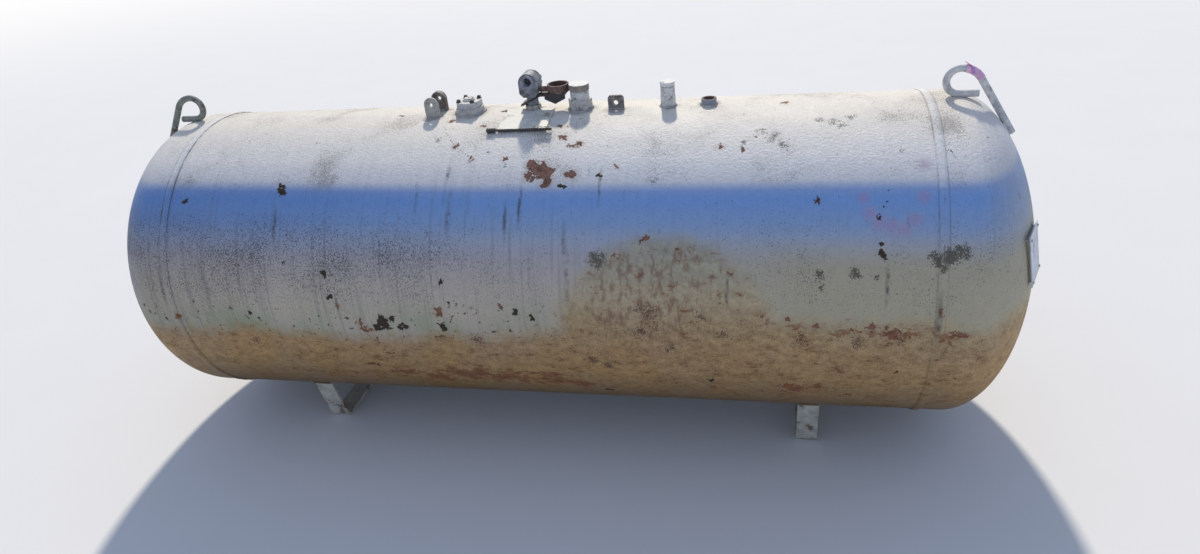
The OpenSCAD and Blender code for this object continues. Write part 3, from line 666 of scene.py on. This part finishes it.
# Every CAD node takes its slot's first finish, and these take another of the same slot
otherLook = {
    "Crumpled white paint on plate": ("badge_plate",),
    "Grey tan paint on foot strap": ("strap_foot_left", "strap_foot_right"),
    "Dirty bar, olive grey": ("lifting_lug_left",),
    "Dirty plate, brown grey": ("hinge_ear_rear", "hasp_tab"),
    "Dull grey paint on plate": ("hinge_ear_front", "valve_coupling"),
    "Cracked white paint on coupling": ("gauge_boss", "filler_coupling"),
    "Chalky paint on valve necks": ("filler_body", "relief_body", "gauge_head"),
    "Chalky rain cap": ("relief_cap",),
    "Rusty bore, painted outside": ("open_coupling",),
}
slotLook = {"tank_paint": enamel}
for name, look in fittingLooks.items():
    slotLook.setdefault(look["slot"], looks[name])
nodeLook = {node: looks[name] for name, chosen in otherLook.items() for node in chosen}
for part in frame["record"]["subparts"]:
    finishes = nodes[part["node"]].data.materials
    finishes.clear()
    finishes.append(nodeLook.get(part["node"], slotLook[part["material_slot"]]))
print("finishes set")

# Modelling helpers
def onlySelect(piece):
    bpy.ops.object.select_all(action="DESELECT")
    piece.select_set(True)
    bpy.context.view_layer.objects.active = piece


def startPiece(name):
    # Names the primitive that was just added and opens it in edit mode, all selected
    piece = bpy.context.object
    piece.name = name
    piece.data.name = name
    onlySelect(piece)
    bpy.ops.object.mode_set(mode="EDIT")
    bpy.ops.mesh.select_all(action="SELECT")
    return piece


def pick(piece, wanted, kind="verts"):
    # Selects just the points, edges or faces that pass the test
    shape = bmesh.from_edit_mesh(piece.data)
    bpy.ops.mesh.select_all(action="DESELECT")
    for part in getattr(shape, kind):
        if wanted(part):
            part.select_set(True)
    if kind == "verts":
        shape.select_flush(True)
    bmesh.update_edit_mesh(piece.data)


def cutSides(piece, height, cuts):
    # Cuts an upright cylinder of this height into rings
    pick(piece, lambda edge: abs(edge.verts[0].co.z - edge.verts[1].co.z) > height / 2, "edges")
    bpy.ops.mesh.subdivide(number_cuts=cuts)


def placeInMesh(piece):
    bpy.ops.object.mode_set(mode="OBJECT")
    onlySelect(piece)
    bpy.ops.object.transform_apply(location=True, rotation=True, scale=True)


def finishPiece(piece, look, smoothAngle=35):
    # The place goes into the mesh, faces turn outwards, and the piece takes its finish and body
    placeInMesh(piece)
    bpy.ops.object.mode_set(mode="EDIT")
    bpy.ops.mesh.select_all(action="SELECT")
    bpy.ops.mesh.remove_doubles(threshold=0.00001)
    bpy.ops.mesh.normals_make_consistent(inside=False)
    bpy.ops.object.mode_set(mode="OBJECT")
    bpy.ops.object.shade_smooth_by_angle(angle=math.radians(smoothAngle))
    piece.data.materials.clear()
    piece.data.materials.append(look)
    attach(piece, "root")
    return piece


def startSheet(name, length, width, cells):
    # A flat grid, its points ready to be moved
    bpy.ops.mesh.primitive_grid_add(x_subdivisions=cells[0], y_subdivisions=cells[1], size=1)
    sheet = startPiece(name)
    bpy.ops.transform.resize(value=(length * mm, width * mm, 1))
    bpy.ops.object.mode_set(mode="OBJECT")
    return sheet


def thicken(sheet, thickness):
    wall = sheet.modifiers.new("wall", "SOLIDIFY")
    wall.thickness = thickness * mm
    onlySelect(sheet)
    bpy.ops.object.modifier_apply(modifier="wall")


def copyPiece(piece, name, shift, look):
    onlySelect(piece)
    bpy.ops.object.duplicate(linked=False)
    copy = bpy.context.object
    copy.name = name
    copy.data.name = name
    bpy.ops.transform.translate(value=shift)
    return finishPiece(copy, look)


# Weld beads: hand-laid, with a ripple every few millimetres. Radii and heights in mm
weldBead = {
    "ripple": 3.6, "rise": 0.5, "around": 10,
    "girthRipple": 9.0, "girthRise": 0.35, "girthRadius": 3.0, "girthFlat": 3.0,
    "rings": {
        "gaugeBead": ("gauge_boss", 4.5), "valveBead": ("valve_coupling", 3.5),
        "fillerBead": ("filler_body", 4.0), "reliefBead": ("relief_coupling", 3.5),
        "openBead": ("open_coupling", 3.5)},
    "fillerRing": 28,
    "tabs": {"hinge_ear_front": 5, "hinge_ear_rear": 5, "hasp_tab": 6},  # the tabs' thickness
    "tabRadius": 2.6,
}


def fattenRipples(piece, rise):
    # Every third ring of points is a ripple's crest
    pick(piece, lambda point: point.index // weldBead["around"] % 3 == 0)
    bpy.ops.transform.shrink_fatten(value=rise * mm)


def ringBead(name, x, ringRadius, beadRadius, look):
    # A bead round the foot of a round fitting, lowered to follow the tank's curve
    rings = 3 * round(2 * math.pi * ringRadius / weldBead["ripple"])
    bpy.ops.mesh.primitive_torus_add(
        location=(x, 0, crownHeight), major_radius=ringRadius * mm, minor_radius=beadRadius * mm,
        major_segments=rings, minor_segments=weldBead["around"])
    bead = startPiece(name)
    fattenRipples(bead, weldBead["rise"])
    placeInMesh(bead)
    for point in bead.data.vertices:
        point.co.z -= crownDrop(point.co.y)
    return finishPiece(bead, look)


def girthBead(side, name, look):
    rings = 3 * round(2 * math.pi * tankRadius / (weldBead["girthRipple"] * mm))
    bpy.ops.mesh.primitive_torus_add(
        location=(side * seamX, 0, axisHeight), rotation=(0, math.pi / 2, 0), major_radius=tankRadius,
        minor_radius=weldBead["girthRadius"] * mm, major_segments=rings, minor_segments=weldBead["around"])
    bead = startPiece(name)
    fattenRipples(bead, weldBead["girthRise"])
    bpy.ops.mesh.select_all(action="SELECT")
    bpy.ops.transform.resize(value=(weldBead["girthFlat"], 1, 1))
    return finishPiece(bead, look)


def straightBead(name, start, end, beadRadius, look):
    # A short bead between two places, thinner at both ends
    run = end - start
    rings = 3 * max(2, round(run.length / (weldBead["ripple"] * mm)))
    bpy.ops.mesh.primitive_cylinder_add(
        vertices=weldBead["around"], radius=beadRadius * mm, depth=run.length,
        location=(start + end) / 2, rotation=run.to_track_quat("Z", "Y").to_euler())
    bead = startPiece(name)
    cutSides(bead, run.length, rings - 1)
    pick(bead, lambda point: round((point.co.z / run.length + 0.5) * rings) % 3 == 1)
    bpy.ops.transform.shrink_fatten(value=weldBead["rise"] * mm)
    pick(bead, lambda point: abs(point.co.z) > run.length / 2 - 0.1 * mm)
    bpy.ops.transform.resize(value=(0.5, 0.5, 0.5), orient_type="LOCAL")
    return finishPiece(bead, look)


def addWelds():
    girthLeft = girthBead(-1, "girthBeadLeft", enamel)
    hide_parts("girth_weld_left")
    girthRight = girthBead(1, "girthBeadRight", enamel)
    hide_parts("girth_weld_right")
    for name, (node, beadRadius) in weldBead["rings"].items():
        low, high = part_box(node)
        ringRadius = weldBead["fillerRing"] if node == "filler_body" else (high.x - low.x) / 2 / mm
        ringBead(name, middle(node).x, ringRadius, beadRadius, enamel)
    for node, thick in weldBead["tabs"].items():
        low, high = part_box(node)
        face = high.y - thick * mm if node == "hinge_ear_rear" else low.y
        for side, y in (("A", face), ("B", face + thick * mm)):
            z = crownHeight - crownDrop(y)
            start, end = Vector((low.x, y, z)), Vector((high.x, y, z))
            straightBead(node + "Bead" + side, start, end, weldBead["tabRadius"], enamel)


addWelds()
print("weld beads laid")

# Cap screws that hold the gauge head down, one at each cut corner
gaugeScrews = {
    "seat": 15, "across": 9.5, "height": 6.5, "chamfer": 0.9, "rim": 1.2, "socket": 2.5,
    "washer": 13, "washerHeight": 1.4, "washerChamfer": 0.4, "inset": 18.6, "turn": -9}


def screwDisc(name, sides, across, height, chamfer, top):
    # A disc that stands at the given height, its upper rim rounded
    bpy.ops.mesh.primitive_cylinder_add(
        vertices=sides, radius=across / 2 * mm, depth=height * mm, location=(0, 0, top + height / 2 * mm))
    disc = startPiece(name)
    pick(disc, lambda point: point.co.z > 0)
    bpy.ops.mesh.bevel(offset=chamfer * mm, segments=2, affect="EDGES")
    return disc


def addGaugeScrews():
    size = gaugeScrews
    centre = middle("gauge_head")
    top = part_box("gauge_head")[0].z + size["seat"] * mm
    screw = screwDisc("gaugeScrew1", 6, size["across"], size["height"], size["chamfer"], top)
    pick(screw, lambda face: face.calc_center_median().z > (size["height"] / 2 - 0.05) * mm, "faces")
    bpy.ops.mesh.inset(thickness=size["rim"] * mm)
    bpy.ops.mesh.extrude_region_move(TRANSFORM_OT_translate={"value": (0, 0, -size["socket"] * mm)})
    bpy.ops.object.mode_set(mode="OBJECT")
    screwDisc("gaugeWasher", 28, size["washer"], size["washerHeight"], size["washerChamfer"], top)
    bpy.ops.object.mode_set(mode="OBJECT")
    screw.select_set(True)
    bpy.context.view_layer.objects.active = screw
    bpy.ops.object.join()
    reach = size["inset"] * math.sqrt(2) * mm
    places = []
    for corner in range(4):
        turn = math.radians(45 + 90 * corner + size["turn"])
        places.append(Vector((centre.x + reach * math.cos(turn), centre.y + reach * math.sin(turn), 0)))
    screw.location += places[0]
    finishPiece(screw, darkIron)
    for number in (1, 2, 3):
        copyPiece(screw, "gaugeScrew" + str(number + 1), places[number] - places[0], darkIron)


addGaugeScrews()
print("gauge screws set")

# Pipe threads cut inside the open coupling and the valve's outlet
threads = {
    "pitch": 1.8, "ridge": 0.55, "steps": 40,
    "open": {"radius": 12.3, "turns": 6, "deep": 13.5},
    "outlet": {"radius": 10.8, "turns": 8, "deep": 18},
}


def addThread(name, size, centre, turned, look):
    # A three sided ridge is set at the bore's wall and wound up its axis
    bpy.ops.mesh.primitive_circle_add(
        vertices=3, radius=threads["ridge"] * threads["pitch"] * mm, rotation=(math.pi / 2, math.pi / 6, 0))
    ridge = startPiece(name)
    placeInMesh(ridge)
    bpy.ops.object.mode_set(mode="EDIT")
    bpy.ops.mesh.select_all(action="SELECT")
    bpy.ops.transform.translate(value=(size["radius"] * mm, 0, 0))
    bpy.ops.object.mode_set(mode="OBJECT")
    wind = ridge.modifiers.new("wind", "SCREW")
    wind.screw_offset = threads["pitch"] * mm
    wind.iterations = size["turns"]
    wind.steps = wind.render_steps = threads["steps"]
    wind.use_merge_vertices = False
    bpy.ops.object.modifier_apply(modifier="wind")
    bpy.ops.object.mode_set(mode="EDIT")
    bpy.ops.mesh.select_all(action="SELECT")
    bpy.ops.mesh.fill_holes(sides=3)
    bpy.ops.object.mode_set(mode="OBJECT")
    ridge.rotation_euler = turned
    ridge.location = centre
    return finishPiece(ridge, look)


def addThreads():
    size = threads["open"]
    place = (middle("open_coupling").x, 0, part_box("open_coupling")[1].z - size["deep"] * mm)
    addThread("openThread", size, place, (0, 0, 0), rustyIron)
    size = threads["outlet"]
    port = middle("valve_port")
    place = (port.x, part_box("valve_port")[0].y + size["deep"] * mm, port.z)
    addThread("outletThread", size, place, (math.pi / 2, 0, 0), valvePaint)


addThreads()
print("threads cut")

# The lugs in mm and degrees: the top bend's middle along x, its radius, its lean, the bar's half width and
# the welded end of the leg
lugWeld = {
    "eye": 953.2, "bend": 50, "lean": 32, "bar": 8,
    "legFrom": 112, "legTo": 146, "legIn": 6.5, "legApart": 6.0, "legRadius": 2.8}

# Marking tape wound round the right lug's top bend: each turn lies on the one before, and its end is torn
tape = {
    "turns": 3.4, "from": 33, "to": 80, "lap": 0.8, "under": 8.3, "crease": 0.25, "around": 40, "rings": 66,
    "tailLength": 17, "tailWidth": 11, "tailThick": 0.4, "tailFrom": -9, "tailTurn": 15, "tailOff": 8.9,
    "tailLift": 4.5, "tailWave": 0.8}


def tapePaint():
    # Sun-bleached plastic tape: pale pink at both ends, a purple band where it still has its colour
    material, add = newMaterial("Sun-bleached marking tape", "ribbon", 0.4)
    place = add("TexCoord", out=3)
    low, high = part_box("lug_ribbon")
    wrinkle = add("TexNoise", place, Scale=160, Detail=5, Roughness=0.65)
    along = add("SeparateXYZ", place)
    along = add("MapRange", along, low.x, high.x, -0.12, 0.88)
    along = add("Math MULTIPLY_ADD", wrinkle, 0.24, along)
    tone = add("ValToRGB", along, stops=[
        (0.00, "#eec3d8"), (0.20, "#e7aed2"), (0.27, "#b07cc0"), (0.40, "#b487c1"), (0.48, "#d3abcf"),
        (0.80, "#cfa3c8"), (1.00, "#e3b6d6")])
    faded = add("MapRange", wrinkle, 0.5, 0.66, 0, 0.55)
    tone = add("MixRGB", faded, tone, "#f0d3e2")
    dirty = add("MapRange", wrinkle, 0.42, 0.32, 0, 0.5)
    tone = add("MixRGB", dirty, tone, "#6a4a70")
    folds = add("TexNoise", place, Scale=420, Detail=2)
    bump = add("Bump", Strength=0.5, Distance=0.4 * mm, Height=folds)
    return finishMaterial(material, tone, bump)


def topBend():
    # Middle of the right lug's top bend, and its radius, from the lug's own box
    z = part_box("lifting_lug_right")[1].z - (lugWeld["bend"] + lugWeld["bar"]) * mm
    return Vector((lugWeld["eye"] * mm, 0, z)), lugWeld["bend"] * mm


def roundBend(centre, reach, across, turn):
    # A place this far out from the bend's middle and across it, at this turn from the level
    return centre + Vector((reach * math.cos(turn), across, reach * math.sin(turn)))


def addTape():
    look = tapePaint()
    centre, bend = topBend()
    start, end = math.radians(tape["from"]), math.radians(tape["to"])
    length = bend * (end - start)
    bpy.ops.mesh.primitive_cylinder_add(vertices=tape["around"], radius=tape["under"] * mm, depth=length)
    wound = startPiece("woundTape")
    cutSides(wound, length, tape["rings"])
    bpy.ops.object.mode_set(mode="OBJECT")
    for point in wound.data.vertices:
        along = point.co.z / length + 0.5
        turn = math.atan2(point.co.y, point.co.x)
        lap = (along * tape["turns"] + turn / (2 * math.pi)) % 1.0
        crease = tape["crease"] * math.sin(7 * turn + 25 * along)
        reach = (tape["under"] + tape["lap"] * (1 - lap) + crease * lap) * mm
        place = start + along * (end - start)
        point.co = roundBend(centre, bend + reach * math.cos(turn), reach * math.sin(turn), place)
    finishPiece(wound, look, 40)
    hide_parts("lug_ribbon")

    # The torn end stands off the bar at the top
    tail = startSheet("tapeTail", tape["tailLength"], tape["tailWidth"], (12, 6))
    for point in tail.data.vertices:
        along = point.co.x / (tape["tailLength"] * mm) + 0.5
        across = point.co.y / (tape["tailWidth"] * mm)
        torn = 0.16 * along * math.sin(19 * across) + 0.5 * along * abs(across)
        place = end + math.radians(tape["tailFrom"] + tape["tailTurn"] * (along - torn))
        lift = tape["tailOff"] + tape["tailLift"] * along ** 2
        lift += tape["tailWave"] * math.sin(9 * across) * along
        point.co = roundBend(centre, bend + lift * mm, point.co.y, place)
    thicken(tail, tape["tailThick"])
    finishPiece(tail, look, 40)


addTape()
print("marking tape wound")

# Gauge face: a ring of tick bars and a tapered needle on a hub, all blank
gaugeFace = {
    "ticks": 20, "tickWidth": 0.6, "tickLength": 2.2, "tickHeight": 0.6, "tickRing": 11.2,
    "hubRadius": 1.7, "hubHeight": 1.2, "hubLift": 0.5, "needle": 10.0, "needleTurn": 118}


def addGaugeFace():
    size = gaugeFace
    face = middle("gauge_dial")
    face.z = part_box("gauge_dial")[1].z
    bpy.ops.mesh.primitive_cube_add(size=1, location=face + Vector((size["tickRing"] * mm, 0, 0)))
    ticks = startPiece("gaugeTicks")
    bpy.ops.transform.resize(value=[size[way] * mm for way in ("tickLength", "tickWidth", "tickHeight")])
    bpy.ops.mesh.bevel(offset=0.12 * mm, segments=1, affect="EDGES")
    bpy.ops.mesh.select_all(action="SELECT")
    others = size["ticks"] - 1
    bpy.ops.mesh.spin(
        steps=others, dupli=True, angle=2 * math.pi * others / size["ticks"], center=face, axis=(0, 0, 1))
    finishPiece(ticks, darkIron)

    bpy.ops.mesh.primitive_cylinder_add(
        vertices=24, radius=size["hubRadius"] * mm, depth=size["hubHeight"] * mm,
        location=face + Vector((0, 0, size["hubLift"] * mm)))
    needle = startPiece("gaugeNeedle")
    pick(needle, lambda side: side.normal.x > 0.95 and abs(side.normal.z) < 0.1, "faces")
    bpy.ops.mesh.extrude_region_move(TRANSFORM_OT_translate={"value": (size["needle"] * mm, 0, 0)})
    bpy.ops.transform.resize(value=(1, 0.3, 0.5))
    pick(needle, lambda point: point.co.z > 0 and point.co.x < 2 * mm)
    bpy.ops.mesh.bevel(offset=0.2 * mm, segments=2, affect="EDGES")
    needle.rotation_euler = (0, 0, math.radians(size["needleTurn"]))
    finishPiece(needle, darkIron)


addGaugeFace()
print("gauge face set")

# Domed rivets at the bare plate's corners
plateRivets = {"radius": 3.4, "squash": 0.55, "foot": 0.8, "flare": 1.15, "sunk": 0.4, "inset": 11}


def addPlateRivets():
    plate = nodes["badge_plate"].data
    outer = max(plate.polygons, key=lambda face: face.area * (1 if face.normal.x > 0.2 else 0))
    facing = outer.normal.copy()
    depth = max(point.co.dot(facing) for point in plate.vertices)
    corners = []
    for point in plate.vertices:
        onTop = point.co.dot(facing) > depth - 0.2 * mm
        if onTop and all((point.co - corner).length > mm for corner in corners):
            corners.append(point.co)
    centre = sum(corners, Vector()) / len(corners)
    places = [corner + (centre - corner).normalized() * plateRivets["inset"] * mm for corner in corners]
    bpy.ops.mesh.primitive_uv_sphere_add(segments=24, ring_count=12, radius=plateRivets["radius"] * mm)
    rivet = startPiece("plateRivet1")
    bpy.ops.mesh.bisect(plane_co=(0, 0, 0), plane_no=(0, 0, 1), clear_inner=True, use_fill=True)
    bpy.ops.mesh.select_all(action="SELECT")
    bpy.ops.transform.resize(value=(1, 1, plateRivets["squash"]))
    pick(rivet, lambda point: point.co.z < 0.05 * mm)
    bpy.ops.mesh.extrude_region_move(TRANSFORM_OT_translate={"value": (0, 0, -plateRivets["foot"] * mm)})
    bpy.ops.transform.resize(value=(plateRivets["flare"], plateRivets["flare"], 1))
    rivet.rotation_euler = facing.to_track_quat("Z", "Y").to_euler()
    rivet.location = places[0] + facing * plateRivets["sunk"] * mm
    finishPiece(rivet, enamel)
    for number in range(1, len(places)):
        copyPiece(rivet, "plateRivet" + str(number + 1), places[number] - places[0], enamel)


addPlateRivets()
print("plate rivets set")

# Welds that hold the lugs to the heads and the strap feet to the shell: the turn down from the level where
# a foot meets the shell, and how far out and down from there its bead lies
footWeld = {"meet": 51, "out": 1.0, "down": 0.5, "radius": 3.2}


def addFootWelds():
    lean = math.radians(lugWeld["lean"])
    top = topBend()[0].z
    out = lugWeld["bend"] - lugWeld["legIn"]
    leg = []
    for along in (lugWeld["legFrom"], lugWeld["legTo"]):
        x = lugWeld["eye"] + out * math.cos(lean) + along * math.sin(lean)
        leg.append((x * mm, top + (out * math.sin(lean) - along * math.cos(lean)) * mm))
    (x1, z1), (x2, z2) = leg
    for side, end in ((-1, "Left"), (1, "Right")):
        for across, mark in ((-1, "Front"), (1, "Back")):
            y = across * lugWeld["legApart"] * mm
            start, stop = Vector((side * x1, y, z1)), Vector((side * x2, y, z2))
            straightBead("lugLegBead" + end + mark, start, stop, lugWeld["legRadius"], enamel)
    meet = math.radians(footWeld["meet"])
    z = axisHeight - tankRadius * math.sin(meet) - footWeld["down"] * mm
    for end in ("left", "right"):
        low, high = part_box("strap_foot_" + end)
        for side, mark in ((-1, "Front"), (1, "Back")):
            y = side * (tankRadius * math.cos(meet) + footWeld["out"] * mm)
            start, stop = Vector((low.x, y, z)), Vector((high.x, y, z))
            straightBead("strap_" + end + "_bead" + mark, start, stop, footWeld["radius"], enamel)


addFootWelds()
print("lug and foot welds laid")

# Curled flakes of old paint that lie against the rod: place along x, length and width in mm, and turn in
# degrees
paintFlakes = {
    "each": [
        (12, 13, 9, 40), (22, 17, 10, -35), (30, 12, 9, 70), (39, 15, 9, 12), (49, 16, 9, -8), (55, 9, 7, 60)],
    "thick": 0.6, "lean": -22, "tip": 14, "behind": 3.0, "above": 0.8}


def addPaintFlakes():
    low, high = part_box("plate_rod")
    for number, (x, length, width, turn) in enumerate(paintFlakes["each"]):
        flake = startSheet("paintFlake" + str(number + 1), length, width, (9, 7))
        for point in flake.data.vertices:
            along = point.co.x / (length * mm)
            across = point.co.y / (width * mm)
            point.co.x *= 1 - 0.35 * abs(across) ** 1.5 + 0.08 * math.sin(11 * across + number)
            point.co.y *= 1 - 0.3 * abs(along) + 0.1 * math.sin(9 * along + 2 * number)
            point.co.z = (3.2 * along ** 2 + 1.4 * across ** 2 + 0.5 * math.sin(6 * along + 4 * across)) * mm
        thicken(flake, paintFlakes["thick"])
        tip = paintFlakes["tip"] * math.sin(number)
        flake.rotation_euler = [math.radians(angle) for angle in (paintFlakes["lean"], tip, turn)]
        flake.location = (x * mm, low.y + paintFlakes["behind"] * mm, high.z + paintFlakes["above"] * mm)
        finishPiece(flake, looks["Peeled paint and dry dirt"])


addPaintFlakes()
print("paint flakes laid")
